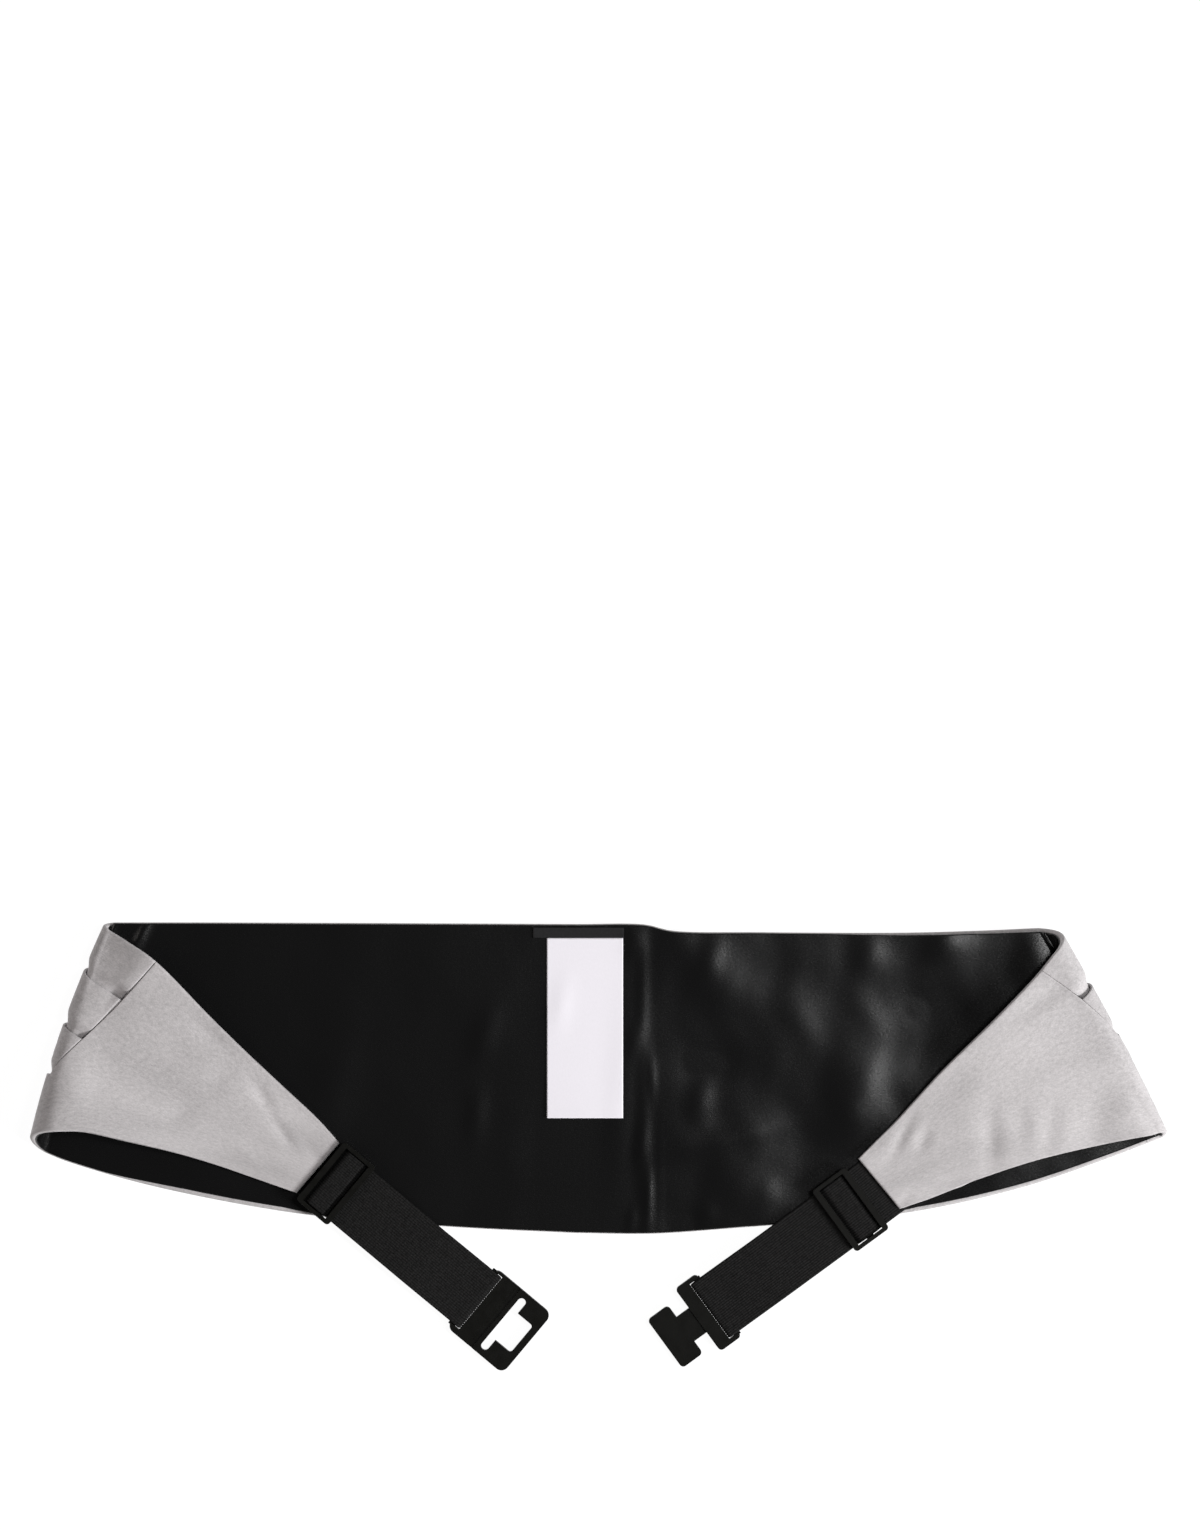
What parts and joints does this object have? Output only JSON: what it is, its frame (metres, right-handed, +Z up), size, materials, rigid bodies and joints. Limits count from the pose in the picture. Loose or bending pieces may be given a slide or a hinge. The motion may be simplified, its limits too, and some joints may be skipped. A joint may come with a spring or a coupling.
{
  "type": "cummerbund",
  "caption": "Grey satin cummerbund with a pleated front, black lining, elastic webbing straps, sliders and a hook clasp, lying face down with both ends folded over.",
  "frame": {"origin": "under the middle of the whole part, on the table", "axes": "+X along the band to the right as one looks down on it, +Y across the band towards its straight edge, away from the clasps, +Z up from the table"},
  "size_m": [0.431, 0.17, 0.0166],
  "materials": {
    "grey_satin": "warm light grey satin with a fine grain and soft sheen",
    "black_lining": "black satin lining with a low soft sheen",
    "black_webbing": "matte black elastic webbing with fine lengthwise ribs",
    "black_plastic": "glossy black moulded plastic",
    "black_label": "black woven label, bare",
    "white_label": "white printed satin care label, bare"
  },
  "bodies": {
    "root": {"front_panel": "grey_satin", "side_panel_left": "grey_satin", "side_panel_right": "grey_satin", "lining": "black_lining", "woven_label": "black_label", "care_label": "white_label", "strap_left": "black_webbing", "strap_right": "black_webbing", "slider_left": "black_plastic", "slider_right": "black_plastic", "clasp_eye": "black_plastic", "clasp_hook": "black_plastic"}
  },
  "joints": []
}
